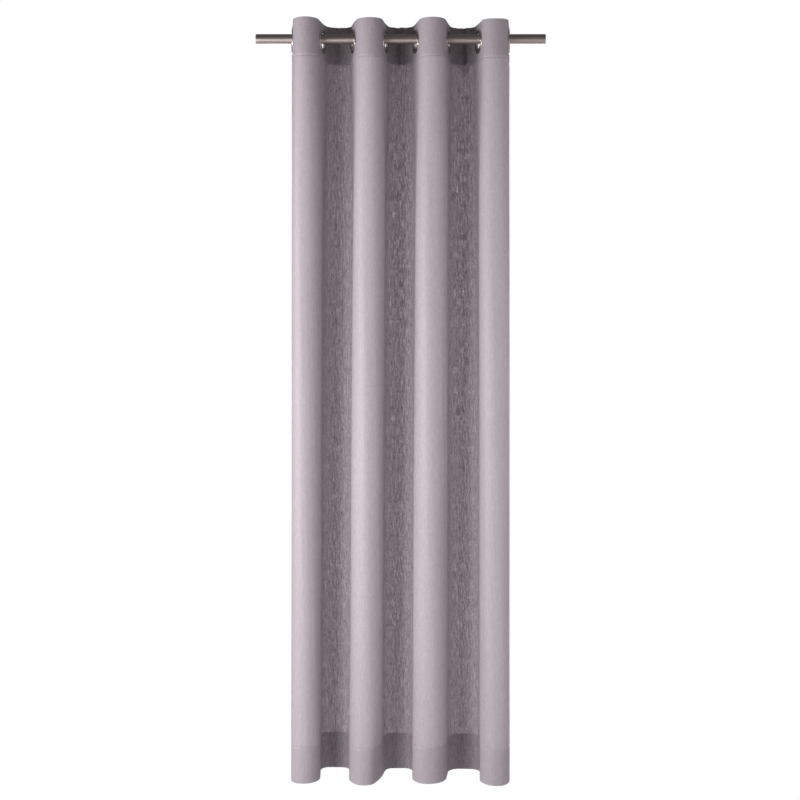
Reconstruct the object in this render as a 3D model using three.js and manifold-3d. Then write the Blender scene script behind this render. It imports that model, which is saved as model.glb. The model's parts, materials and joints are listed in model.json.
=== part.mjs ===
// An eyelet curtain panel hanging on its pole. Millimetres, +Z up.
// The origin is the middle of the pole's axis. +X runs along the pole, and -Y is the room side.
// The cloth hangs in a wave: it crosses the pole at every eyelet, from a back fold to a front fold.
// It is one woven piece. Here it is divided at the crest of each fold, so that the sections can turn
// about the crests as the panel is drawn together along the pole.
import * as THREE from "three";
import { mergeVertices } from "three/addons/utils/BufferGeometryUtils.js";
import Module from "manifold-3d";

// Panel. An even number of eyelets puts both side edges at the back.
const EYELETS = 8;
const EYELET_SPACING = 175; // from eyelet to eyelet along the flat cloth
const SIDE_MARGIN = 47.5; // from an outer eyelet's centre to the side edge
const DROP = 2134; // from the top edge to the bottom edge
const HUNG_PITCH = 89; // from eyelet to eyelet along the pole, between the two outer ones
const OUTER_WALL_DEGREES = 84; // from the pole to the cloth at an outer eyelet: nearly straight back
const CREST_GAP = 1.5; // between two sections at the crest of a fold, so that they can turn there

// Cloth, and what is sewn to it
const CLOTH_THICKNESS = 0.8;
const STIFFENER_THICKNESS = 0.6;
const LAYER_GAP = 0.3; // between touching layers
const HEADER_HEIGHT = 108;
const HEM_HEIGHT = 102;
const SIDE_HEM_WIDTH = 15;
const STIFFENER_INSET = 3; // the stiffener stops short of the header's top and bottom folds

// Eyelets. Each is a front ring with a barrel, and a back ring that snaps over the barrel.
const EYELET_DROP = 54; // from the top edge to the eyelet's centre
const EYELET_BORE_RADIUS = 22;
const BARREL_WALL = 1.2;
const BARREL_CLEARANCE = 0.4; // round the barrel, to the back ring and to the cloth's hole
const RING_RADIUS = 34;
const RING_EDGE = 1.2; // height of a ring's outer edge
const RING_CROWN = 3; // height of a ring's rounded crown
const CROWN_PLACE = 0.4; // how far across a ring its crown lies, from the bore outwards
const RING_FLAT = 3; // flat cloth that a ring keeps beyond its own edge

// Pole
const POLE_RADIUS = 14.3;
const POLE_WALL = 1.2;
const POLE_LENGTH = 820;
const POLE_CLEARANCE = 0.528; // between the pole and the outer eyelets' bores, which hang on it
const CAP_RIM = 4.5; // the part of an end cap that shows
const CAP_SPIGOT = 12; // the part inside the pole
const CAP_CLEARANCE = 0.3;

// Facets and solving
const ROUND_SEGMENTS = 24;
const CREST_SEGMENTS = 6; // from a flat wall to a crest
const CROWN_SEGMENTS = 3;
const LEAST_STEP = 0.5; // between a section's end and the nearest point of its outline
const BISECTIONS = 60;

// Header layers from the room side to the back, as distances in front of the wave's own line
const STACK = 2 * CLOTH_THICKNESS + STIFFENER_THICKNESS + 2 * LAYER_GAP;
const FACE = [STACK / 2, STACK / 2 - CLOTH_THICKNESS];
const STIFFENER = [STIFFENER_THICKNESS / 2, -STIFFENER_THICKNESS / 2];
const FACING = [CLOTH_THICKNESS - STACK / 2, -STACK / 2];
const TURNED = [FACE[1] - LAYER_GAP, FACE[1] - LAYER_GAP - CLOTH_THICKNESS];
const RING_SEAT = STACK / 2 + LAYER_GAP; // a ring's flat side

// Barrel
const BARREL_RADIUS = EYELET_BORE_RADIUS + BARREL_WALL;
const BARREL_END = RING_SEAT + RING_EDGE; // behind the wave's line
const BARREL_HOLE_RADIUS = BARREL_RADIUS + BARREL_CLEARANCE;
const CUTTER_LENGTH = 4 * STACK; // past both sides of every layer

// The wave: a flat wall on both sides of each eyelet, and then a round crest
const WALL = RING_RADIUS + RING_FLAT;
const TO_CREST = EYELET_SPACING / 2;
const CREST_ARC = TO_CREST - WALL;
const INNER = halfFold(wallAngle());
const OUTER = halfFold(THREE.MathUtils.degToRad(OUTER_WALL_DEGREES));
const OUTER_SHIFT = OUTER.depth - INNER.depth; // how far behind the pole's axis an outer eyelet stands

// Heights. The outer eyelets hang on the pole, and the others hang level with them.
const BORE_PLAY = EYELET_BORE_RADIUS - POLE_RADIUS - POLE_CLEARANCE;
const EYELET_Z = -Math.sqrt(BORE_PLAY ** 2 - OUTER_SHIFT ** 2);
const TOP_Z = EYELET_Z + EYELET_DROP;
const BOTTOM_Z = TOP_Z - DROP;

const COLOURS = {
  cloth: 0xa0959d,
  stiffener: 0xd9d5d0,
  ring: 0xb9b4ae,
  pole: 0x8a807a,
  cap: 0x857c76,
};
const cloth = new THREE.MeshStandardMaterial({ color: COLOURS.cloth, roughness: 0.95 });
const stiffener = new THREE.MeshStandardMaterial({ color: COLOURS.stiffener, roughness: 0.9 });
const ring = new THREE.MeshStandardMaterial({ color: COLOURS.ring, roughness: 0.3, metalness: 1 });
const pole = new THREE.MeshStandardMaterial({ color: COLOURS.pole, roughness: 0.4, metalness: 1 });
const cap = new THREE.MeshStandardMaterial({ color: COLOURS.cap, roughness: 0.4, metalness: 1 });

const wasm = await Module();
wasm.setup();

// Half a fold, from an eyelet to a crest: its wall's angle to the pole, its crest's radius, and how far
// the crest lies from the eyelet along the pole (reach) and across it (depth).
function halfFold(angle) {
  const radius = CREST_ARC / angle;
  return {
    angle,
    radius,
    reach: WALL * Math.cos(angle) + radius * Math.sin(angle),
    depth: WALL * Math.sin(angle) + radius * (1 - Math.cos(angle)),
  };
}

// The angle between a wall and the pole at which the eyelets hang HUNG_PITCH apart.
function wallAngle() {
  let [wide, narrow] = [0.01, Math.PI];
  for (let i = 0; i < BISECTIONS; i++) {
    const middle = (wide + narrow) / 2;
    if (2 * halfFold(middle).reach > HUNG_PITCH) wide = middle;
    else narrow = middle;
  }
  return wide;
}

// A point of the wave at distance s along the cloth from an eyelet's centre, moved forward of the
// wave's line. way is 1 where the cloth runs to the front as x grows, and -1 where it runs back.
function wavePoint(fold, way, s, forward) {
  const side = Math.sign(s);
  const past = Math.max(0, Math.abs(s) - WALL);
  const flat = Math.abs(s) - past;
  const angle = fold.angle - past / fold.radius;
  const x = flat * Math.cos(fold.angle) + fold.radius * (Math.sin(fold.angle) - Math.sin(angle));
  const y = flat * Math.sin(fold.angle) + fold.radius * (Math.cos(angle) - Math.cos(fold.angle));
  return new THREE.Vector2(
    side * x - way * forward * Math.sin(angle),
    -way * side * y - forward * Math.cos(angle),
  );
}

// The distances along the cloth at which a section from one end to the other has points.
function stations(from, to) {
  const all = [-WALL, 0, WALL];
  for (let i = 1; i <= CREST_SEGMENTS; i++) {
    const s = WALL + (CREST_ARC * i) / CREST_SEGMENTS;
    all.push(s, -s);
  }
  const inside = all.filter((s) => s > from + LEAST_STEP && s < to - LEAST_STEP);
  return [from, ...inside.sort((a, b) => a - b), to];
}

// A layer of cloth from one distance along the wave to another, between two heights.
function layerGeometry(fold, way, [from, to], [front, back], [low, high]) {
  const along = stations(from, to);
  const outline = [
    ...along.map((s) => wavePoint(fold, way, s, front)),
    ...along.reverse().map((s) => wavePoint(fold, way, s, back)),
  ];
  const shape = new THREE.Shape(outline);
  return new THREE.ExtrudeGeometry(shape, { depth: high - low, bevelEnabled: false }).translate(0, 0, low);
}

// A geometry as a solid that can be cut.
function solid(geometry) {
  const bare = geometry.clone().deleteAttribute("normal").deleteAttribute("uv");
  const merged = mergeVertices(bare, 1e-4);
  return new wasm.Manifold(
    new wasm.Mesh({
      numProp: 3,
      vertProperties: merged.attributes.position.array,
      triVerts: new Uint32Array(merged.index.array),
    }),
  );
}

function cut(geometry, tool) {
  const mesh = solid(geometry).subtract(solid(tool)).getMesh();
  return new THREE.BufferGeometry()
    .setAttribute("position", new THREE.BufferAttribute(mesh.vertProperties, 3))
    .setIndex(new THREE.BufferAttribute(mesh.triVerts, 1));
}

// Turns a shape made about +Y, its front at +Y, to face the same way as the cloth at an eyelet.
function faceOut(geometry, fold, way) {
  return geometry.rotateZ(way * (Math.PI - fold.angle)).translate(0, 0, EYELET_Z);
}

function named(name, geometry, material) {
  const mesh = new THREE.Mesh(geometry, material);
  mesh.name = name;
  return mesh;
}

// The crown of a ring, from its inner edge to its outer edge: a quarter ellipse up from the bore and
// another down to the outer edge. up is 1 for the front ring and -1 for the back ring.
function crown(inner, base, up) {
  const top = inner + (RING_RADIUS - inner) * CROWN_PLACE;
  const rise = RING_CROWN - RING_EDGE;
  const edge = base + up * RING_EDGE;
  const points = [];
  for (let i = 0; i <= CROWN_SEGMENTS; i++) {
    const a = (Math.PI / 2) * (i / CROWN_SEGMENTS);
    points.push(new THREE.Vector2(top - (top - inner) * Math.cos(a), edge + up * rise * Math.sin(a)));
  }
  for (let i = 1; i <= CROWN_SEGMENTS; i++) {
    const a = (Math.PI / 2) * (i / CROWN_SEGMENTS);
    points.push(new THREE.Vector2(top + (RING_RADIUS - top) * Math.sin(a), edge + up * rise * Math.cos(a)));
  }
  return points;
}

function frontRing(fold, way) {
  const profile = [
    new THREE.Vector2(EYELET_BORE_RADIUS, -BARREL_END),
    new THREE.Vector2(BARREL_RADIUS, -BARREL_END),
    new THREE.Vector2(BARREL_RADIUS, RING_SEAT),
    new THREE.Vector2(RING_RADIUS, RING_SEAT),
    ...crown(EYELET_BORE_RADIUS, RING_SEAT, 1).reverse(),
    new THREE.Vector2(EYELET_BORE_RADIUS, -BARREL_END),
  ];
  return faceOut(new THREE.LatheGeometry(profile, ROUND_SEGMENTS), fold, way);
}

function backRing(fold, way) {
  const profile = [
    new THREE.Vector2(BARREL_HOLE_RADIUS, -RING_SEAT),
    ...crown(BARREL_HOLE_RADIUS, -RING_SEAT, -1),
    new THREE.Vector2(RING_RADIUS, -RING_SEAT),
    new THREE.Vector2(BARREL_HOLE_RADIUS, -RING_SEAT),
  ];
  return faceOut(new THREE.LatheGeometry(profile, ROUND_SEGMENTS), fold, way);
}

// What cuts the barrel's hole through every layer of the header.
function barrelHole(fold, way) {
  const radius = BARREL_HOLE_RADIUS;
  return faceOut(new THREE.CylinderGeometry(radius, radius, CUTTER_LENGTH, ROUND_SEGMENTS), fold, way);
}

// Where a section's eyelet hangs. An outer section shares a front crest with its neighbour.
function eyeletPlace(number) {
  const fromMiddle = number - (EYELETS + 1) / 2;
  if (number > 1 && number < EYELETS) return new THREE.Vector3(fromMiddle * HUNG_PITCH, 0, 0);
  const x = (EYELETS / 2 - 1) * HUNG_PITCH + OUTER.reach;
  return new THREE.Vector3(Math.sign(fromMiddle) * x, OUTER_SHIFT, 0);
}

// One section of the panel: the cloth round one eyelet, from crest to crest or to a side edge.
function section(number) {
  const way = number % 2 ? 1 : -1;
  const crest = TO_CREST - CREST_GAP / 2;
  const first = number === 1;
  const last = number === EYELETS;
  const fold = first || last ? OUTER : INNER;
  const span = [first ? -SIDE_MARGIN : -crest, last ? SIDE_MARGIN : crest];
  const hole = barrelHole(fold, way);
  const header = [TOP_Z - HEADER_HEIGHT, TOP_Z];
  const stiff = [header[0] + STIFFENER_INSET, TOP_Z - STIFFENER_INSET];
  const hem = [BOTTOM_Z, BOTTOM_Z + HEM_HEIGHT];

  const group = new THREE.Group();
  group.position.copy(eyeletPlace(number));
  const layer = (place, heights) => layerGeometry(fold, way, span, place, heights);
  group.add(
    named(`cloth_${number}`, cut(layer(FACE, [BOTTOM_Z, TOP_Z]), hole), cloth),
    named(`header_stiffener_${number}`, cut(layer(STIFFENER, stiff), hole), stiffener),
    named(`header_facing_${number}`, cut(layer(FACING, header), hole), cloth),
    named(`bottom_hem_${number}`, layer(TURNED, hem), cloth),
    named(`eyelet_front_${number}`, frontRing(fold, way), ring),
    named(`eyelet_back_${number}`, backRing(fold, way), ring),
  );
  if (first || last) {
    const inner = SIDE_MARGIN - SIDE_HEM_WIDTH;
    const edge = first ? [-SIDE_MARGIN, -inner] : [inner, SIDE_MARGIN];
    const between = [hem[1] + LAYER_GAP, header[0] - LAYER_GAP];
    const name = first ? "side_hem_left" : "side_hem_right";
    group.add(named(name, layerGeometry(fold, way, edge, TURNED, between), cloth));
  }
  return group;
}

// The pole is a tube. A cap closes each end: a rim as wide as the pole, and a spigot inside it.
function poleTube() {
  const bore = POLE_RADIUS - POLE_WALL;
  const half = POLE_LENGTH / 2 - CAP_RIM - CAP_CLEARANCE;
  const profile = [
    new THREE.Vector2(bore, -half),
    new THREE.Vector2(POLE_RADIUS, -half),
    new THREE.Vector2(POLE_RADIUS, half),
    new THREE.Vector2(bore, half),
    new THREE.Vector2(bore, -half),
  ];
  return new THREE.LatheGeometry(profile, ROUND_SEGMENTS).rotateZ(-Math.PI / 2);
}

// An end cap, with its outer face at +X for side 1 and at -X for side -1.
function endCap(side) {
  const spigot = POLE_RADIUS - POLE_WALL - CAP_CLEARANCE;
  const face = POLE_LENGTH / 2;
  const profile = [
    new THREE.Vector2(0, face - CAP_RIM - CAP_SPIGOT),
    new THREE.Vector2(spigot, face - CAP_RIM - CAP_SPIGOT),
    new THREE.Vector2(spigot, face - CAP_RIM),
    new THREE.Vector2(POLE_RADIUS, face - CAP_RIM),
    new THREE.Vector2(POLE_RADIUS, face),
    new THREE.Vector2(0, face),
  ];
  return new THREE.LatheGeometry(profile, ROUND_SEGMENTS).rotateZ((-side * Math.PI) / 2);
}

const curtain = new THREE.Group();
curtain.add(
  named("pole", poleTube(), pole),
  named("pole_cap_left", endCap(-1), cap),
  named("pole_cap_right", endCap(1), cap),
);
for (let number = 1; number <= EYELETS; number++) curtain.add(section(number));

export default curtain;
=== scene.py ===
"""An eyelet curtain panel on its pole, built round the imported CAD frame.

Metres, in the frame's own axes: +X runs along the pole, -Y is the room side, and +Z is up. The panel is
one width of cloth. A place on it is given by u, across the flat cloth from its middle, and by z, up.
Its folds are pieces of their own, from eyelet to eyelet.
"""
import json
import math

import bpy
import numpy as np
from mathutils import Matrix, Vector

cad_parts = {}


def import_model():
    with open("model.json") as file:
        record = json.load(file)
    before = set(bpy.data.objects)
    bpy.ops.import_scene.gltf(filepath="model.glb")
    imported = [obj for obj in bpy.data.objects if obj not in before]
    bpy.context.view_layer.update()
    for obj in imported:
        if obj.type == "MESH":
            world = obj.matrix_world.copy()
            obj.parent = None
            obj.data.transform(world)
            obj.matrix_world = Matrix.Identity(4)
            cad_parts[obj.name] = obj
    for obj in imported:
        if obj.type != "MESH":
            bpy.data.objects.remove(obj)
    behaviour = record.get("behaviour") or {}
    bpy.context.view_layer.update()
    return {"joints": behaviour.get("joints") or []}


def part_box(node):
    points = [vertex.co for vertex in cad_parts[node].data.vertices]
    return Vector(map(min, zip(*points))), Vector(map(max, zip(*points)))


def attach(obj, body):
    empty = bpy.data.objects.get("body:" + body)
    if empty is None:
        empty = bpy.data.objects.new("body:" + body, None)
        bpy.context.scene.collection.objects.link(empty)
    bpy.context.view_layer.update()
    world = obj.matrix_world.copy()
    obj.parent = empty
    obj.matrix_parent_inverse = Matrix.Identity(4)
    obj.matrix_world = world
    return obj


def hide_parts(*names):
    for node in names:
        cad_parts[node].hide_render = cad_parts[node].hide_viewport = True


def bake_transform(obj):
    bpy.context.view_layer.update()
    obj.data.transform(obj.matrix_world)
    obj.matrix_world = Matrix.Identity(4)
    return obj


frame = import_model()

# ---------------------------------------------------------------- sizes
EYELETS = 8
SPACING = 0.175  # from eyelet to eyelet along the flat cloth
SIDE_MARGIN = 0.0475
WALL = 0.037  # flat cloth on both sides of an eyelet's centre
HEADER = 0.108
HEM = 0.102
SIDE_HEM = 0.015
EYELET_DROP = 0.054  # from the top edge
BORE_RADIUS = 0.022
BARREL_WALL = 0.0012
RING_RADIUS = 0.034
RING_CROWN = 0.003
CUT_RADIUS = 0.027  # the cloth's hole, which the rings cover

CLOTH = 0.0005  # thickness
INTERLINING = 0.0005
FACE_AT = 0.001  # in front of the wave's own line
FACING_AT = -0.001
HEM_AT = -0.0001
RING_SEAT = 0.0017
SEAM_INSET = 0.002  # from a turned edge to its stitching

POLE_RADIUS = 0.0143
POLE_WALL = 0.0012
CAP_RIM = 0.0045
CAP_SPIGOT = 0.012  # the part inside the pole
CAP_CLEARANCE = 0.0003

COLUMN = 0.0035  # mesh size across the cloth
HEADER_ROW = 0.0035
SEAM_ROW = 0.001
BODY_ROW = 0.014
HEM_ROW = 0.008
TURN_STEPS = 6  # round a turned edge

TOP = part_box("cloth_2")[1].z
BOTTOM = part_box("cloth_2")[0].z
EYELET_Z = TOP - EYELET_DROP
HEADER_SEAM = TOP - HEADER + SEAM_INSET
HEM_SEAM = BOTTOM + HEM - SEAM_INSET
PANEL_HALF = (EYELETS - 1) / 2 * SPACING + SIDE_MARGIN
rng = np.random.default_rng(7)


# ---------------------------------------------------------------- the wave
def joint(name):
    return next(j for j in frame["joints"] if j["name"] == name)


def half_fold(reach):
    """The wall angle and crest radius of cloth whose crest lies that far along the pole from its eyelet."""
    arc = SPACING / 2 - WALL
    wide, narrow = 0.01, math.pi
    for _ in range(60):
        middle = (wide + narrow) / 2
        if WALL * math.cos(middle) + arc / middle * math.sin(middle) > reach:
            wide = middle
        else:
            narrow = middle
    return wide, arc / wide


CRESTS = [joint(f"{'front' if k % 2 else 'back'}_fold_{k}")["pos_m"] for k in range(1, EYELETS)]
OUTER = joint("gather")["pos_m"]
EYELET_AT = (
    [(-OUTER[0], OUTER[1])]
    + [((CRESTS[k][0] + CRESTS[k + 1][0]) / 2, 0.0) for k in range(EYELETS - 2)]
    + [(OUTER[0], OUTER[1])]
)
REACH = np.array([abs(CRESTS[min(k, EYELETS - 2)][0] - EYELET_AT[k][0]) for k in range(EYELETS)])
WALL_ANGLE, RADIUS = np.array([half_fold(reach) for reach in REACH]).T
EYELET_U = [(k - (EYELETS - 1) / 2) * SPACING for k in range(EYELETS)]
CREST_U = [(k - (EYELETS - 2) / 2) * SPACING for k in range(EYELETS - 1)]


def smooth(x, low, high):
    t = np.clip((x - low) / (high - low), 0, 1)
    return t * t * (3 - 2 * t)


def bump(x, centre, width):
    return np.exp(-(((x - centre) / width) ** 2))


# Below the header, where no eyelet holds it, the cloth hangs in squarer folds, and squarest at the back.
SQUARED_ABOVE = 0.85  # share of the squaring reached within SQUARING of the header, the rest low down
SQUARING = 0.5
LOW_SQUARING_STARTS = 0.6  # above the bottom
LOW_WALL = np.radians([90] + [92] * (EYELETS - 2) + [90])
LOW_RADIUS = np.array([0.0343] + [0.0450] * (EYELETS - 2) + [0.0343])
BACK_WALL = math.radians(93)
BACK_RADIUS = 0.030


def section(k, square, front):
    """How wide the flat wall is, its angle, and the crest's radius and depth, at an eyelet's section."""
    low_turn = np.where(front, LOW_WALL[k], BACK_WALL)
    low_radius = np.where(front, LOW_RADIUS[k], BACK_RADIUS)
    turn = WALL_ANGLE[k] + (low_turn - WALL_ANGLE[k]) * square
    radius = RADIUS[k] + (low_radius - RADIUS[k]) * square
    wall = (SPACING / 2 - REACH[k] + radius * (np.sin(turn) - turn)) / (1 - np.cos(turn))
    return wall, turn, radius, wall * np.sin(turn) + radius * (1 - np.cos(turn))


def wave(u, z):
    """Where the wave's line lies at u and z, and its direction towards the room: x, y, nx, ny."""
    k = np.clip(np.rint(u / SPACING + (EYELETS - 1) / 2), 0, EYELETS - 1).astype(int)
    s = u - np.array(EYELET_U)[k]
    # way is 1 where the cloth runs to the room side as u grows past the eyelet, and -1 where it runs back.
    side, way = np.sign(s), 1 - 2 * (k % 2)
    front = way * side > 0
    high = smooth(TOP - HEADER - z, 0, SQUARING)
    low = smooth(BOTTOM + LOW_SQUARING_STARTS - z, 0, SQUARING)
    square = SQUARED_ABOVE * high + (1 - SQUARED_ABOVE) * low
    # The side edges, which nothing pulls on, keep the angle of their eyelets.
    square = np.where(np.abs(u) > EYELET_U[-1], 0, square)
    wall, turn, radius, depth = section(k, square, front)
    flat = np.minimum(np.abs(s), wall)
    bent = np.clip(np.abs(s) - wall, 0, radius * turn)
    crest = np.maximum(0, np.abs(s) - wall - radius * turn)
    angle = turn - bent / radius
    along = flat * np.cos(turn) + radius * (np.sin(turn) - np.sin(angle)) + crest
    across = flat * np.sin(turn) + radius * (np.cos(angle) - np.cos(turn))
    at = np.array(EYELET_AT)[k]
    # Both halves of a fold meet at one depth, though the outer eyelets stand a little further back.
    own = depth - at[..., 1]
    shared = section(np.ones_like(k), square, front)[3]
    across = across + (shared - own) * smooth(np.abs(s), 0, SPACING / 2) * (np.abs(u) < EYELET_U[-1])
    return (
        at[..., 0] + side * along,
        at[..., 1] - way * side * across,
        -way * np.sin(angle),
        -np.cos(angle),
    )


# ---------------------------------------------------------------- how the cloth really hangs
HANG = 0.038  # rise of the cloth for each metre that it lies further back
# How far each crest, from left to right, has moved along the pole at the top and at the bottom.
DRIFT_TOP = np.array([0.000, 0.004, 0.004, 0.000, 0.001, 0.000, -0.004])
DRIFT_BOTTOM = np.array([-0.003, -0.009, -0.011, -0.008, -0.012, 0.006, 0.000])
# How far each crest's top and bottom edge lies above its even height.
EDGE_TOP = np.array([0.0020, 0.0000, 0.0000, 0.0005, 0.0010, -0.0010, -0.0035])
EDGE_BOTTOM = np.array([0.0030, 0.0030, -0.0020, 0.0000, 0.0020, -0.0020, -0.0035])


def at_crests(u, values):
    """Values given at the crests, carried smoothly across the cloth between them and gone at its sides."""
    place = u / SPACING + (EYELETS - 2) / 2
    low = np.clip(np.floor(place), 0, EYELETS - 2).astype(int)
    high = np.clip(low + 1, 0, EYELETS - 2)
    share = smooth(place - low, 0, 1)
    inside = 1 - smooth(np.abs(u), CREST_U[-1], EYELET_U[-1])
    return (values[low] * (1 - share) + values[high] * share) * inside


def ripple_set(count, across, down):
    """Sine waves with wavelengths across and down the cloth in these ranges, as an array of rows."""
    return np.stack(
        [
            rng.uniform(*across, count),
            rng.uniform(*down, count),
            rng.uniform(0, 2 * math.pi, count),
            rng.uniform(0.5, 1, count),
        ],
        axis=1,
    )


SOFT_RIPPLES = ripple_set(9, (0.035, 0.09), (0.7, 2.4))
FINE_RIPPLES = ripple_set(8, (0.012, 0.024), (0.25, 0.8))


def ripples(u, z, waves):
    total = np.zeros(np.broadcast(u, z).shape)
    for across, down, phase, height in waves:
        total = total + height * np.sin(2 * math.pi * (u / across + z / down) + phase)
    return total / math.sqrt(len(waves))


SOFT_RIPPLE = 0.0006
FINE_RIPPLE = 0.00015
FINE_IN_HEADER = 0.25  # share of the fine ripples that the stiff header keeps
SEAM_GROOVE = 0.0011
SEAM_GROOVE_WIDTH = 0.0022
PUCKERS = ((0.00022, 0.0092, 0), (0.00016, 0.0153, 1))  # height, wavelength and phase, along a seam
PUCKER_WIDTH = 0.009
DROOP = 0.002  # of the top edge beside an eyelet
FLARE = 0.007  # how far one wall leans open at the bottom
FLARE_HEIGHT = 0.22

# Creases in the header where it is pushed back between two eyelets: crest, offset, width, depth, length.
CREASES = (
    (1, -0.004, 0.0040, 0.0022, 0.05),
    (1, 0.016, 0.0050, 0.0016, 0.04),
    (3, -0.008, 0.0050, 0.0060, 0.07),
    (3, 0.003, 0.0042, -0.0045, 0.06),
    (3, 0.015, 0.0050, 0.0035, 0.04),
    (5, -0.011, 0.0050, 0.0036, 0.05),
    (5, 0.004, 0.0045, 0.0055, 0.08),
    (5, 0.014, 0.0042, -0.0034, 0.04),
)


def relief(u, z):
    """How far the cloth stands in front of the even wave, from its ripples, creases and seams."""
    below_header = smooth(TOP - HEADER - z, -0.02, 0.35)
    fine_share = FINE_IN_HEADER + (1 - FINE_IN_HEADER) * below_header
    out = SOFT_RIPPLE * ripples(u, z, SOFT_RIPPLES) * below_header
    out = out + FINE_RIPPLE * ripples(u, z, FINE_RIPPLES) * fine_share
    for crest, offset, width, depth, length in CREASES:
        fade = 1 - smooth(TOP - HEADER - z, 0, length)
        out = out - depth * bump(u, CREST_U[crest] + offset, width) * fade
    pucker = sum(height * np.sin(2 * math.pi * u / length + phase) for height, length, phase in PUCKERS)
    for seam_z in (HEADER_SEAM, HEM_SEAM):
        groove = SEAM_GROOVE * bump(z, seam_z, SEAM_GROOVE_WIDTH)
        out = out - groove + pucker * bump(z, seam_z, PUCKER_WIDTH)
    return out


def cloth_point(u, z, forward):
    """The place of a point of the cloth, that far in front of the wave's line."""
    u, z, forward = np.broadcast_arrays(u, z, forward)
    x, y, nx, ny = wave(u, z)
    down = (TOP - z) / (TOP - BOTTOM)
    stand = forward + relief(u, z)
    x = x + nx * stand
    y = y + ny * stand
    free = smooth(TOP - HEADER - z, -0.1, 0.5)
    drift = at_crests(u, DRIFT_TOP) * (1 - free) + free * (
        at_crests(u, DRIFT_TOP) * (1 - down) + at_crests(u, DRIFT_BOTTOM) * down
    )
    on_crest = np.cos(math.pi * u / SPACING) ** 2
    drift = drift * (1 - (1 - free) * (1 - on_crest))
    # Low down, the wall to the right of the second front fold leans open.
    open_wall = bump(u, EYELET_U[3] + 0.032, 0.03) - 1.3 * bump(u, EYELET_U[3] - 0.036, 0.03)
    flare = FLARE * open_wall * smooth(BOTTOM + FLARE_HEIGHT - z, 0, FLARE_HEIGHT)
    edge = at_crests(u, EDGE_TOP) * (1 - down) * on_crest + at_crests(u, EDGE_BOTTOM) * down
    lift = HANG * y * (1 - (1 - down) * (1 - on_crest))
    edge = edge - DROOP * (1 - on_crest) * smooth(z, EYELET_Z + RING_RADIUS, TOP)
    return np.stack([x + drift + flare, y, z + lift + edge], axis=-1)


# ---------------------------------------------------------------- mesh helpers
def steps(start, end, size):
    """Evenly spaced values from start to end, about size apart."""
    return np.linspace(start, end, max(2, int(round(abs(end - start) / size)) + 1))


def joined(*runs):
    """Runs of values that share their ends, as one run."""
    return np.concatenate([runs[0]] + [r[1:] for r in runs[1:]])


def make_object(name, points, faces, material, sharp_degrees=50):
    mesh = bpy.data.meshes.new(name)
    mesh.from_pydata([tuple(p) for p in points], [], faces)
    mesh.materials.append(material)
    mesh.shade_smooth()
    mesh.set_sharp_from_angle(angle=math.radians(sharp_degrees))
    obj = bpy.data.objects.new(name, mesh)
    bpy.context.scene.collection.objects.link(obj)
    return obj


def solidify(obj, thickness):
    """Gives a sheet its thickness on both sides, and keeps its rims crisp."""
    bpy.context.view_layer.objects.active = obj
    modifier = obj.modifiers.new("thickness", "SOLIDIFY")
    modifier.thickness = thickness
    modifier.offset = 0
    depsgraph = bpy.context.evaluated_depsgraph_get()
    solid = bpy.data.meshes.new_from_object(obj.evaluated_get(depsgraph))
    obj.modifiers.clear()
    obj.data = solid
    solid.set_sharp_from_angle(angle=math.radians(50))


def sheet_mesh(name, u, z, forward, material, thickness, holes=()):
    """A closed sheet over a grid: u across, and rows that each have a z and a place in front of the wave.

    holes are where eyelets stand across the cloth. Cells that one covers are left out.
    """
    columns, rows = len(u), len(z)
    grid_u, grid_z = np.meshgrid(u, z)
    grid_f = np.repeat(forward[:, None], columns, axis=1)
    keep = np.ones((rows, columns), bool)
    flat_u = grid_u.copy()
    flat_z = grid_z.copy()
    for hole_u in holes:
        du = grid_u - hole_u
        dz = grid_z - EYELET_Z
        away = np.hypot(du, dz)
        keep &= away > CUT_RADIUS
        # The points just outside the hole are drawn in to its edge.
        pulled = (away > CUT_RADIUS) & (away < CUT_RADIUS + 1.3 * COLUMN)
        share = np.where(pulled, CUT_RADIUS / np.maximum(away, 1e-9), 1)
        flat_u = np.where(pulled, hole_u + du * share, flat_u)
        flat_z = np.where(pulled, EYELET_Z + dz * share, flat_z)
    points = cloth_point(flat_u, flat_z, grid_f).reshape(-1, 3)
    number = np.arange(rows * columns).reshape(rows, columns)
    full = keep[:-1, :-1] & keep[1:, :-1] & keep[:-1, 1:] & keep[1:, 1:]
    quads = np.stack([number[:-1, :-1], number[1:, :-1], number[1:, 1:], number[:-1, 1:]], axis=-1)[full]
    used = np.unique(quads)
    new_number = np.full(rows * columns, -1)
    new_number[used] = np.arange(len(used))
    obj = make_object(name, points[used], new_number[quads].tolist(), material)
    lengthwise = np.concatenate([[0], np.cumsum(np.hypot(np.diff(z), np.diff(forward)))])
    flat_v = np.repeat(lengthwise[:, None], columns, axis=1)
    uv = np.stack([flat_u.reshape(-1)[used], flat_v.reshape(-1)[used]], axis=-1)
    layer = obj.data.uv_layers.new(name="flat")
    corners = np.zeros(len(obj.data.loops), int)
    obj.data.loops.foreach_get("vertex_index", corners)
    layer.data.foreach_set("uv", uv[corners].ravel())
    solidify(obj, thickness)
    return obj


def turned_edge(z, start, end, downwards):
    """Rows round a turned edge at height z, from one place in front of the wave to another."""
    middle, radius = (start + end) / 2, abs(start - end) / 2
    turn = np.linspace(0, math.pi, TURN_STEPS + 1)
    forward = middle + (start - middle) * np.cos(turn)
    rise = radius * np.sin(turn) * (-1 if downwards else 1)
    return z + rise + (radius if downwards else -radius), forward


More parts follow.
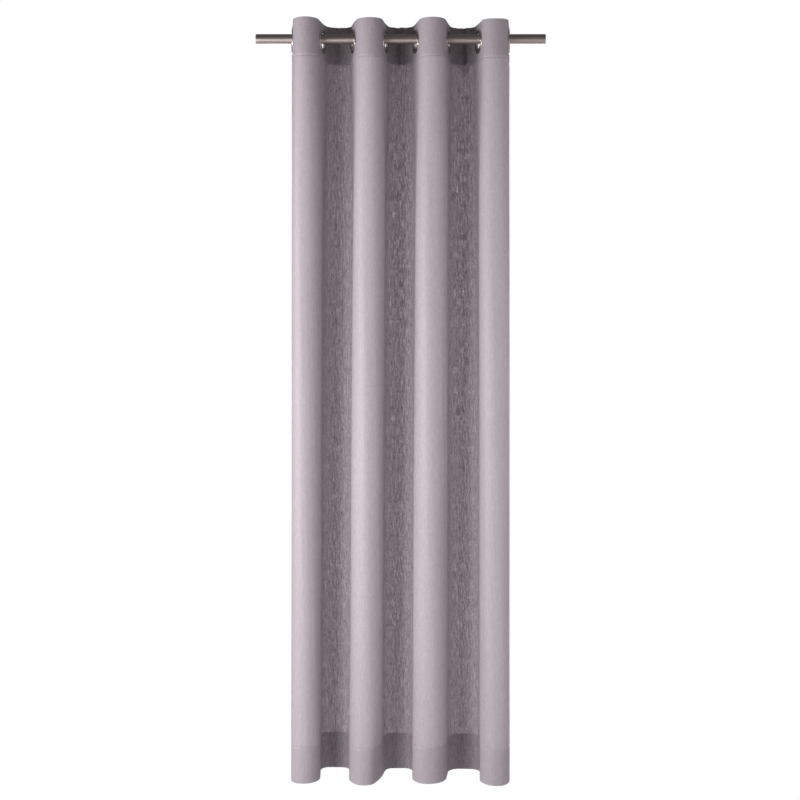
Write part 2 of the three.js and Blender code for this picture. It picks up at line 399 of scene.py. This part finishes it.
def panel_rows():
    """The cloth's whole length: the hem's inner edge, the bottom, the face, the top, the facing's edge."""
    hem_back = joined(
        steps(BOTTOM + HEM, BOTTOM + HEM - 0.008, SEAM_ROW),
        steps(BOTTOM + HEM - 0.008, BOTTOM + 0.002, HEM_ROW),
    )
    face = joined(
        steps(BOTTOM + 0.002, HEM_SEAM - 0.004, HEM_ROW),
        steps(HEM_SEAM - 0.004, HEM_SEAM + 0.006, SEAM_ROW),
        steps(HEM_SEAM + 0.006, HEADER_SEAM - 0.006, BODY_ROW),
        steps(HEADER_SEAM - 0.006, HEADER_SEAM + 0.004, SEAM_ROW),
        steps(HEADER_SEAM + 0.004, TOP - 0.002, HEADER_ROW),
    )
    facing = joined(
        steps(TOP - 0.002, TOP - HEADER + 0.008, HEADER_ROW),
        steps(TOP - HEADER + 0.008, TOP - HEADER, SEAM_ROW),
    )
    bottom_z, bottom_f = turned_edge(BOTTOM, HEM_AT, FACE_AT, True)
    top_z, top_f = turned_edge(TOP, FACE_AT, FACING_AT, False)
    z = np.concatenate([hem_back, bottom_z, face, top_z, facing])
    hem_f = np.full(len(hem_back), HEM_AT)
    face_f = np.full(len(face), FACE_AT)
    facing_f = np.full(len(facing), FACING_AT)
    forward = np.concatenate([hem_f, bottom_f, face_f, top_f, facing_f])
    return z, forward


def stretches():
    """The nine stretches of cloth, each a piece of its own: name, its two sections, and its u range."""
    found = [("left_edge", 0, 0, -PANEL_HALF, EYELET_U[0])]
    for k in range(EYELETS - 1):
        found.append((f"fold_{k + 1}", k, k + 1, EYELET_U[k], EYELET_U[k + 1]))
    found.append(("right_edge", EYELETS - 1, EYELETS - 1, EYELET_U[-1], PANEL_HALF))
    return found


def hang(obj, low, high):
    """Makes a piece move with one section; a piece between two has its place baked into its mesh."""
    if low == high:
        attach(obj, f"section_{low + 1}")
    else:
        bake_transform(obj)


# ---------------------------------------------------------------- materials
def new_material(name):
    material = bpy.data.materials.new(name)
    material.use_nodes = True
    nodes = material.node_tree.nodes
    nodes.clear()
    output = nodes.new("ShaderNodeOutputMaterial")
    return material, nodes, material.node_tree.links, output


def math_node(nodes, links, operation, *inputs):
    node = nodes.new("ShaderNodeMath")
    node.operation = operation
    for socket, value in zip(node.inputs, inputs):
        if isinstance(value, (int, float)):
            socket.default_value = value
        else:
            links.new(value, socket)
    return node.outputs[0]


def stretched_noise(nodes, links, coordinates, across, along, detail, roughness):
    """Noise on the flat cloth whose grains are that far across and that far along the threads."""
    mapping = nodes.new("ShaderNodeMapping")
    mapping.inputs["Scale"].default_value = (1 / across, 1 / along, 1)
    links.new(coordinates, mapping.inputs["Vector"])
    noise = nodes.new("ShaderNodeTexNoise")
    noise.noise_dimensions = "2D"
    noise.inputs["Scale"].default_value = 1
    noise.inputs["Detail"].default_value = detail
    noise.inputs["Roughness"].default_value = roughness
    links.new(mapping.outputs[0], noise.inputs["Vector"])
    return noise.outputs["Fac"]


def remapped(nodes, links, value, low, high, to_low, to_high):
    node = nodes.new("ShaderNodeMapRange")
    node.inputs["From Min"].default_value = low
    node.inputs["From Max"].default_value = high
    node.inputs["To Min"].default_value = to_low
    node.inputs["To Max"].default_value = to_high
    links.new(value, node.inputs["Value"])
    return node.outputs[0]


def tinted(nodes, links, value, colour):
    """A colour times a value."""
    node = nodes.new("ShaderNodeVectorMath")
    node.operation = "SCALE"
    node.inputs[0].default_value = colour
    links.new(value, node.inputs["Scale"])
    return node.outputs[0]


# Colours are linear.
CLOTH_COLOUR = (0.46, 0.404, 0.437)
LIGHT_THROUGH = (0.52, 0.466, 0.495)
THROUGH_SHARE = 0.42  # of the light, which passes through the cloth
# The slub contrast below is painted backlight: strong in the back folds, where light behind the cloth shows
# the slubs, and weak in the front ones.
SLUBS_IN_FRONT = 0.25  # contrast of the slubs in the front folds, against 1 in the back ones


def woven_cloth():
    """Slubby plain weave. Light comes through it, more where its threads are thin."""
    material, nodes, links, output = new_material("woven_cloth")
    flat = nodes.new("ShaderNodeUVMap")
    flat.uv_map = "flat"
    where = flat.outputs[0]
    slub = stretched_noise(nodes, links, where, 0.0042, 0.028, 3, 0.65)
    thread = stretched_noise(nodes, links, where, 0.0016, 0.008, 2, 0.6)
    weft = stretched_noise(nodes, links, where, 0.050, 0.0016, 2, 0.5)
    cloud = stretched_noise(nodes, links, where, 0.09, 0.30, 2, 0.5)
    slub_tone = remapped(nodes, links, slub, 0.3, 0.7, -1, 1)
    thread_tone = remapped(nodes, links, thread, 0.3, 0.7, -1, 1)
    weft_tone = remapped(nodes, links, weft, 0.3, 0.7, -1, 1)
    cloud_tone = remapped(nodes, links, cloud, 0.3, 0.7, -1, 1)

    # Painted backlight: the slubs' contrast in colour, in the light let through and in relief is painted
    # strong in the folds that hang back and weak in the ones that face the room. It stands in for the light
    # behind the cloth, which shows the slubs in the back folds.
    split = nodes.new("ShaderNodeSeparateXYZ")
    links.new(where, split.inputs[0])
    turn = math_node(nodes, links, "MULTIPLY", split.outputs["X"], math.pi / SPACING)
    swing = math_node(nodes, links, "COSINE", turn)
    hung_back = math_node(nodes, links, "MULTIPLY_ADD", swing, 0.5, 0.5)
    slub_contrast_painted_backlight = math_node(nodes, links, "MULTIPLY_ADD", hung_back, 1 - SLUBS_IN_FRONT, SLUBS_IN_FRONT)

    def mixed(base, slub_share, thread_share, weft_share, cloud_share):
        total = math_node(nodes, links, "MULTIPLY", slub_tone, slub_share)
        total = math_node(nodes, links, "MULTIPLY_ADD", thread_tone, thread_share, total)
        total = math_node(nodes, links, "MULTIPLY_ADD", total, slub_contrast_painted_backlight, base)
        total = math_node(nodes, links, "MULTIPLY_ADD", weft_tone, weft_share, total)
        return math_node(nodes, links, "MULTIPLY_ADD", cloud_tone, cloud_share, total)

    surface = nodes.new("ShaderNodeBsdfPrincipled")
    # Base colour: the cloth's own tone, with its slub contrast painted stronger in the back folds as
    # backlight.
    shade = mixed(1.0, -0.05, -0.05, -0.01, 0.01)
    links.new(tinted(nodes, links, shade, CLOTH_COLOUR), surface.inputs["Base Color"])
    surface.inputs["Roughness"].default_value = 0.58
    surface.inputs["Specular IOR Level"].default_value = 0.8
    surface.inputs["Sheen Weight"].default_value = 0.25
    surface.inputs["Sheen Roughness"].default_value = 0.4
    surface.inputs["Sheen Tint"].default_value = (0.95, 0.9, 0.93, 1)
    height = mixed(0.0, 0.5, 0.5, 0.35, 0.0)
    relief_node = nodes.new("ShaderNodeBump")
    relief_node.inputs["Strength"].default_value = 0.03
    relief_node.inputs["Distance"].default_value = 0.0002
    links.new(height, relief_node.inputs["Height"])
    links.new(relief_node.outputs[0], surface.inputs["Normal"])

    through = nodes.new("ShaderNodeBsdfTranslucent")
    # Light let through: its slub contrast is also painted stronger in the back folds as backlight.
    thin = mixed(1.0, 0.62, 0.58, 0.05, 0.02)
    links.new(tinted(nodes, links, thin, LIGHT_THROUGH), through.inputs["Color"])
    mix = nodes.new("ShaderNodeMixShader")
    mix.inputs["Fac"].default_value = THROUGH_SHARE
    links.new(surface.outputs[0], mix.inputs[1])
    links.new(through.outputs[0], mix.inputs[2])
    links.new(mix.outputs[0], output.inputs["Surface"])
    return material


def interlining_felt():
    """Grey pressed fibre, which lets no light through."""
    material, nodes, links, output = new_material("interlining_felt")
    place = nodes.new("ShaderNodeTexCoord").outputs["Object"]
    noise = nodes.new("ShaderNodeTexNoise")
    noise.inputs["Scale"].default_value = 900
    links.new(place, noise.inputs["Vector"])
    surface = nodes.new("ShaderNodeBsdfPrincipled")
    tone = remapped(nodes, links, noise.outputs["Fac"], 0.3, 0.7, 0.9, 1.05)
    links.new(tinted(nodes, links, tone, (0.55, 0.53, 0.52)), surface.inputs["Base Color"])
    surface.inputs["Roughness"].default_value = 0.95
    links.new(surface.outputs[0], output.inputs["Surface"])
    return material


def sewing_thread():
    """Twisted thread a little lighter than the cloth."""
    material, nodes, links, output = new_material("sewing_thread")
    place = nodes.new("ShaderNodeTexCoord").outputs["Object"]
    noise = nodes.new("ShaderNodeTexNoise")
    noise.inputs["Scale"].default_value = 1500
    links.new(place, noise.inputs["Vector"])
    surface = nodes.new("ShaderNodeBsdfPrincipled")
    tone = remapped(nodes, links, noise.outputs["Fac"], 0.3, 0.7, 0.8, 1.1)
    links.new(tinted(nodes, links, tone, (0.60, 0.54, 0.57)), surface.inputs["Base Color"])
    surface.inputs["Roughness"].default_value = 0.55
    surface.inputs["Sheen Weight"].default_value = 0.3
    links.new(surface.outputs[0], output.inputs["Surface"])
    return material


def brushed_metal(name, colour, roughness, grain, along):
    """Metal with fine brush marks. grain is their size in metres on the object's x, y and z axes."""
    material, nodes, links, output = new_material(name)
    place = nodes.new("ShaderNodeTexCoord").outputs["Object"]
    mapping = nodes.new("ShaderNodeMapping")
    mapping.inputs["Scale"].default_value = tuple(1 / g for g in grain)
    links.new(place, mapping.inputs["Vector"])
    noise = nodes.new("ShaderNodeTexNoise")
    noise.inputs["Scale"].default_value = 1
    noise.inputs["Detail"].default_value = 3
    links.new(mapping.outputs[0], noise.inputs["Vector"])
    tone = remapped(nodes, links, noise.outputs["Fac"], 0.3, 0.7, 0.88, 1.08)
    surface = nodes.new("ShaderNodeBsdfPrincipled")
    surface.inputs["Metallic"].default_value = 1
    links.new(tinted(nodes, links, tone, colour), surface.inputs["Base Color"])
    gloss = remapped(nodes, links, noise.outputs["Fac"], 0.3, 0.7, roughness * 0.8, roughness * 1.25)
    links.new(gloss, surface.inputs["Roughness"])
    surface.inputs["Anisotropic"].default_value = along
    marks = nodes.new("ShaderNodeBump")
    marks.inputs["Strength"].default_value = 0.2
    marks.inputs["Distance"].default_value = 0.00005
    links.new(noise.outputs["Fac"], marks.inputs["Height"])
    links.new(marks.outputs[0], surface.inputs["Normal"])
    links.new(surface.outputs[0], output.inputs["Surface"])
    return material


# ---------------------------------------------------------------- cloth pieces
def columns_between(low, high):
    return steps(low, high, COLUMN)


def holes_between(low, high):
    return [u for u in EYELET_U if low - 0.05 < u < high + 0.05]


def stood_for(low, high):
    """The number of the CAD section whose nodes a stretch replaces, or None for the left edge.

    A fold stands for the section on its left, and the right edge for the last one.
    """
    if low != high:
        return high
    return high + 1 if high else None


def panel_pieces(material):
    z, forward = panel_rows()
    length = TOP - BOTTOM + HEADER + HEM
    made = {}
    for name, low, high, u0, u1 in stretches():
        columns = columns_between(u0, u1)
        holes = holes_between(u0, u1)
        obj = sheet_mesh(f"panel_{name}", columns, z, forward, material, CLOTH, holes)
        number = stood_for(low, high)
        if number:
            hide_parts(f"cloth_{number}", f"header_facing_{number}", f"bottom_hem_{number}")
        hang(obj, low, high)
        made[name] = (obj, (u1 - u0, length))
    return made


def interlining_pieces(material):
    made = {}
    z = steps(TOP - HEADER + 0.003, TOP - 0.003, HEADER_ROW)
    for name, low, high, u0, u1 in stretches():
        columns = columns_between(u0, u1)
        holes = holes_between(u0, u1)
        obj = sheet_mesh(f"interlining_{name}", columns, z, np.zeros(len(z)), material, INTERLINING, holes)
        number = stood_for(low, high)
        if number:
            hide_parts(f"header_stiffener_{number}")
        hang(obj, low, high)
        made[name] = (obj, (u1 - u0, z[-1] - z[0]))
    return made


def side_hems(material):
    """The side edges, turned to the back."""
    made = {}
    z = joined(
        steps(BOTTOM + HEM + 0.0003, BOTTOM + HEM + 0.01, 0.003),
        steps(BOTTOM + HEM + 0.01, TOP - HEADER - 0.01, BODY_ROW),
        steps(TOP - HEADER - 0.01, TOP - HEADER - 0.0003, 0.003),
    )
    for name, number, side in (("left", 1, -1), ("right", EYELETS, 1)):
        columns = np.sort(side * steps(PANEL_HALF - SIDE_HEM, PANEL_HALF, 0.0025))
        obj = sheet_mesh(f"turned_side_{name}", columns, z, np.full(len(z), HEM_AT), material, CLOTH)
        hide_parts(f"side_hem_{name}")
        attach(obj, f"section_{number}")
        made[name] = (obj, (SIDE_HEM, z[-1] - z[0]))
    return made


# ---------------------------------------------------------------- stitching
STITCH = 0.0034  # from stitch to stitch
STITCH_LENGTH = 0.0027
THREAD_RADIUS = 0.00022
STITCH_RINGS = 5
STITCH_SIDES = 6


def stitches(starts, ends, lifts, outward):
    """Points and faces of a row of stitches, each a spindle from its start to its end on the cloth."""
    share = np.linspace(0, 1, STITCH_RINGS)
    swell = np.sin(np.linspace(0.12, 1 - 0.12, STITCH_RINGS) * math.pi)
    centre = starts[:, None] * (1 - share[:, None]) + ends[:, None] * share[:, None]
    centre = centre + outward[:, None] * (lifts * swell[None, :, None])
    along = ends - starts
    along = along / np.linalg.norm(along, axis=1, keepdims=True)
    across = np.cross(along, outward)
    across = across / np.linalg.norm(across, axis=1, keepdims=True)
    up = np.cross(across, along)
    turn = np.linspace(0, 2 * math.pi, STITCH_SIDES, endpoint=False)
    ring = across[:, None] * np.cos(turn)[:, None] + up[:, None] * np.sin(turn)[:, None]
    points = centre[:, :, None] + ring[:, None] * (THREAD_RADIUS * swell)[None, :, None, None]
    count = len(starts)
    points = points.reshape(-1, 3)
    faces = []
    for n in range(count):
        base = n * STITCH_RINGS * STITCH_SIDES
        for r in range(STITCH_RINGS - 1):
            for s in range(STITCH_SIDES):
                t = (s + 1) % STITCH_SIDES
                a, b = base + r * STITCH_SIDES, base + (r + 1) * STITCH_SIDES
                faces.append((a + s, a + t, b + t, b + s))
        faces.append(tuple(base + s for s in reversed(range(STITCH_SIDES))))
        faces.append(tuple(base + (STITCH_RINGS - 1) * STITCH_SIDES + s for s in range(STITCH_SIDES)))
    return points, faces


def seam(u0, u1, z, forward):
    """A row of stitches across the cloth, on its room side if forward is positive, else on its back."""
    count = int(round((u1 - u0) / STITCH))
    middle = u0 + (np.arange(count) + 0.5) * (u1 - u0) / count
    starts = cloth_point(middle - STITCH_LENGTH / 2, z, forward)
    ends = cloth_point(middle + STITCH_LENGTH / 2, z, forward)
    _, _, nx, ny = wave(middle, z)
    outward = np.stack([nx, ny, np.zeros(count)], axis=-1) * (1 if forward > 0 else -1)
    return stitches(starts, ends, THREAD_RADIUS * 0.6, outward)


def side_seam(u, forward):
    """A row of stitches down a side hem."""
    low, high = BOTTOM + HEM, TOP - HEADER
    count = int(round((high - low) / STITCH))
    middle = low + (np.arange(count) + 0.5) * (high - low) / count
    starts = cloth_point(np.full(count, u), middle - STITCH_LENGTH / 2, forward)
    ends = cloth_point(np.full(count, u), middle + STITCH_LENGTH / 2, forward)
    _, _, nx, ny = wave(np.full(count, u), middle)
    outward = np.stack([nx, ny, np.zeros(count)], axis=-1) * (1 if forward > 0 else -1)
    return stitches(starts, ends, THREAD_RADIUS * 0.6, outward)


def stitching_pieces(material):
    made = {}
    face, back, hem_back = FACE_AT + CLOTH / 2, FACING_AT - CLOTH / 2, HEM_AT - CLOTH / 2
    for name, low, high, u0, u1 in stretches():
        rows = [
            seam(u0, u1, HEADER_SEAM, face),
            seam(u0, u1, HEADER_SEAM, back),
            seam(u0, u1, HEM_SEAM, face),
            seam(u0, u1, HEM_SEAM, hem_back),
        ]
        if low == high:
            inner = math.copysign(PANEL_HALF - SIDE_HEM + SEAM_INSET, u0 + u1)
            rows += [side_seam(inner, face), side_seam(inner, hem_back)]
        points, faces, start = [], [], 0
        for p, f in rows:
            points.append(p)
            faces += [tuple(i + start for i in face_) for face_ in f]
            start += len(p)
        obj = make_object(f"stitching_{name}", np.concatenate(points), faces, material)
        hang(obj, low, high)
        made[name] = obj
    return made


# ---------------------------------------------------------------- metal pieces
def lathe(profile, segments):
    """Points and faces of a closed profile of (radius, height) turned about +Z."""
    turn = np.linspace(0, 2 * math.pi, segments, endpoint=False)
    radius, height = np.array(profile).T
    points = np.stack(
        [
            radius[:, None] * np.cos(turn),
            radius[:, None] * np.sin(turn),
            np.repeat(height[:, None], segments, axis=1),
        ],
        axis=-1,
    ).reshape(-1, 3)
    count, faces = len(profile), []
    for i in range(count):
        j = (i + 1) % count
        for s in range(segments):
            t = (s + 1) % segments
            faces.append((i * segments + s, i * segments + t, j * segments + t, j * segments + s))
    return points, faces


def arc(centre, radii, start, end, count):
    """Points of a quarter or so of an ellipse in a profile, from one angle to another in degrees."""
    turn = np.radians(np.linspace(start, end, count))
    return [(centre[0] + radii[0] * math.cos(a), centre[1] + radii[1] * math.sin(a)) for a in turn]


RING_EDGE = 0.0012
RING_FOOT = [(RING_RADIUS, RING_SEAT + 0.0003), (RING_RADIUS - 0.0004, RING_SEAT)]
RING_STEPS = 10
RING_SEGMENTS = 96


def front_ring_profile():
    """Crown, outer lip and barrel. Heights are in front of the wave's line."""
    rise = RING_CROWN - RING_EDGE
    top = BORE_RADIUS + (RING_RADIUS - BORE_RADIUS) * 0.4
    lip = RING_SEAT + RING_EDGE
    wall = BORE_RADIUS + BARREL_WALL
    return (
        [(BORE_RADIUS, -lip), (BORE_RADIUS, lip - 0.0004)]
        + arc((top, lip), (top - BORE_RADIUS, rise), 180, 90, RING_STEPS)
        + arc((top, lip), (RING_RADIUS - top, rise), 85, 0, RING_STEPS)
        + RING_FOOT
        + [(wall, RING_SEAT), (wall, -lip)]
    )


def back_ring_profile():
    rise = RING_CROWN - RING_EDGE
    inner = BORE_RADIUS + BARREL_WALL + 0.0004
    top = inner + (RING_RADIUS - inner) * 0.4
    lip = RING_SEAT + RING_EDGE
    crown = arc((top, lip), (top - inner, rise), 180, 90, RING_STEPS)
    crown += arc((top, lip), (RING_RADIUS - top, rise), 85, 0, RING_STEPS)
    outline = [(inner, RING_SEAT)] + crown + RING_FOOT
    return [(r, -h) for r, h in reversed(outline)]


def eyelet_rings(material):
    for k in range(EYELETS):
        x, y = EYELET_AT[k]
        _, _, nx, ny = (float(v) for v in wave(np.array(EYELET_U[k]), EYELET_Z))
        out = Vector((nx, ny, 0))
        side = Vector((0, 0, 1)).cross(out)
        turn = Matrix((side, Vector((0, 0, 1)), out)).transposed()
        place = Vector((x, y, EYELET_Z))
        for name, profile in (("front", front_ring_profile()), ("back", back_ring_profile())):
            points, faces = lathe(profile, RING_SEGMENTS)
            placed = [place + turn @ Vector(p) for p in points]
            obj = make_object(f"eyelet_ring_{name}_{k + 1}", placed, faces, material, 40)
            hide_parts(f"eyelet_{name}_{k + 1}")
            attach(obj, f"section_{k + 1}")


POLE_SEGMENTS = 96
EDGE_ROUND = 0.0006
AXIS_HOLE = 0.0001  # keeps a cap's faces from meeting in one point on its axis


def pole_pieces(material, cap_material):
    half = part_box("pole")[1].x
    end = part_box("pole_cap_right")[1].x
    bore = POLE_RADIUS - POLE_WALL
    lengths = steps(-half, half, 0.04)
    profile = [(POLE_RADIUS, z) for z in lengths] + [(bore, half), (bore, -half)]
    upright = Matrix.Rotation(math.pi / 2, 3, "Y")
    points, faces = lathe(profile, POLE_SEGMENTS)
    tube = make_object("pole_tube", [upright @ Vector(p) for p in points], faces, material, 40)
    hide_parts("pole")
    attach(tube, "pole")
    for name, side in (("left", -1), ("right", 1)):
        rim = end - CAP_RIM
        corner = arc((POLE_RADIUS - EDGE_ROUND, end - EDGE_ROUND), (EDGE_ROUND, EDGE_ROUND), 0, 90, 6)
        spigot = bore - CAP_CLEARANCE
        profile = [(AXIS_HOLE, rim - CAP_SPIGOT), (spigot, rim - CAP_SPIGOT), (spigot, rim)]
        profile += [(POLE_RADIUS, rim)] + corner + [(AXIS_HOLE, end)]
        points, faces = lathe(profile, POLE_SEGMENTS)
        turn = Matrix.Rotation(side * math.pi / 2, 3, "Y")
        cap = make_object(f"end_cap_{name}", [turn @ Vector(p) for p in points], faces, cap_material, 40)
        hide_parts(f"pole_cap_{name}")
        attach(cap, "pole")


# ---------------------------------------------------------------- camera, floor and light
def camera():
    data = bpy.data.cameras.new("camera")
    data.lens = 53.05
    data.sensor_width = 36
    data.shift_y = -0.07
    data.clip_end = 100
    obj = bpy.data.objects.new("camera", data)
    obj.location = (-0.002, -3.341, -0.8635)
    obj.rotation_euler = (math.pi / 2, 0, 0)
    bpy.context.scene.collection.objects.link(obj)
    bpy.context.scene.camera = obj


def floor():
    material, nodes, links, output = new_material("pale_floor")
    surface = nodes.new("ShaderNodeBsdfPrincipled")
    surface.inputs["Base Color"].default_value = (0.6, 0.6, 0.6, 1)
    surface.inputs["Roughness"].default_value = 0.9
    links.new(surface.outputs[0], output.inputs["Surface"])
    size, height = 8, BOTTOM - 0.03
    corners = [(-size, -size, height), (size, -size, height), (size, size, height), (-size, size, height)]
    obj = make_object("floor", corners, [(0, 1, 2, 3)], material)
    obj.visible_camera = False


def area_light(name, azimuth, distance, width, height, watts):
    """A soft box round the panel. Azimuth 0 is the room side, and it grows to the right."""
    data = bpy.data.lights.new(name, "AREA")
    data.shape = "RECTANGLE"
    data.size, data.size_y = width, height
    data.energy = watts
    obj = bpy.data.objects.new(name, data)
    turn = math.radians(azimuth)
    middle = Vector((0, 0, (TOP + BOTTOM) / 2))
    obj.location = middle + Vector((distance * math.sin(turn), -distance * math.cos(turn), 0))
    obj.rotation_euler = (middle - obj.location).to_track_quat("-Z", "Z").to_euler()
    bpy.context.scene.collection.objects.link(obj)


def world():
    made = bpy.data.worlds.new("studio")
    made.use_nodes = True
    nodes, links = made.node_tree.nodes, made.node_tree.links
    nodes.clear()
    output = nodes.new("ShaderNodeOutputWorld")
    light = nodes.new("ShaderNodeBackground")
    seen = nodes.new("ShaderNodeBackground")
    mix = nodes.new("ShaderNodeMixShader")
    light.inputs["Color"].default_value = (1, 1, 1, 1)
    light.inputs["Strength"].default_value = AMBIENT
    seen.inputs["Color"].default_value = (1, 1, 1, 1)
    seen.inputs["Strength"].default_value = 1
    links.new(nodes.new("ShaderNodeLightPath").outputs["Is Camera Ray"], mix.inputs["Fac"])
    links.new(light.outputs[0], mix.inputs[1])
    links.new(seen.outputs[0], mix.inputs[2])
    links.new(mix.outputs[0], output.inputs["Surface"])
    bpy.context.scene.world = made


AMBIENT = 0.16
LIGHTS = (
    # name, azimuth, distance, width, height, watts
    ("key_left", -52, 2.6, 0.35, 2.8, 118),
    ("fill_right", 46, 3.0, 1.2, 2.8, 27),
    ("side_right", 75, 2.6, 0.6, 2.8, 13),
    ("rim_right", 102, 2.4, 0.6, 2.8, 17),
    ("back", 180, 2.0, 1.6, 3.2, 80),
)


# ---------------------------------------------------------------- the scene
camera()
floor()
world()
for light in LIGHTS:
    area_light(*light)
bpy.context.scene.view_settings.view_transform = "Standard"

cloth = woven_cloth()
felt = interlining_felt()
thread = sewing_thread()
nickel = brushed_metal("satin_nickel", (0.62, 0.59, 0.56), 0.24, (0.0004, 0.0004, 0.0004), 0.0)
pole_metal = brushed_metal("brushed_pole", (0.38, 0.32, 0.30), 0.4, (0.06, 0.0003, 0.0003), 0.3)
cap_metal = brushed_metal("cap_metal", (0.38, 0.33, 0.305), 0.42, (0.0006, 0.0006, 0.0006), 0.0)

panel = panel_pieces(cloth)
lining = interlining_pieces(felt)
hems = side_hems(cloth)
thread_rows = stitching_pieces(thread)
eyelet_rings(nickel)
pole_pieces(pole_metal, cap_metal)
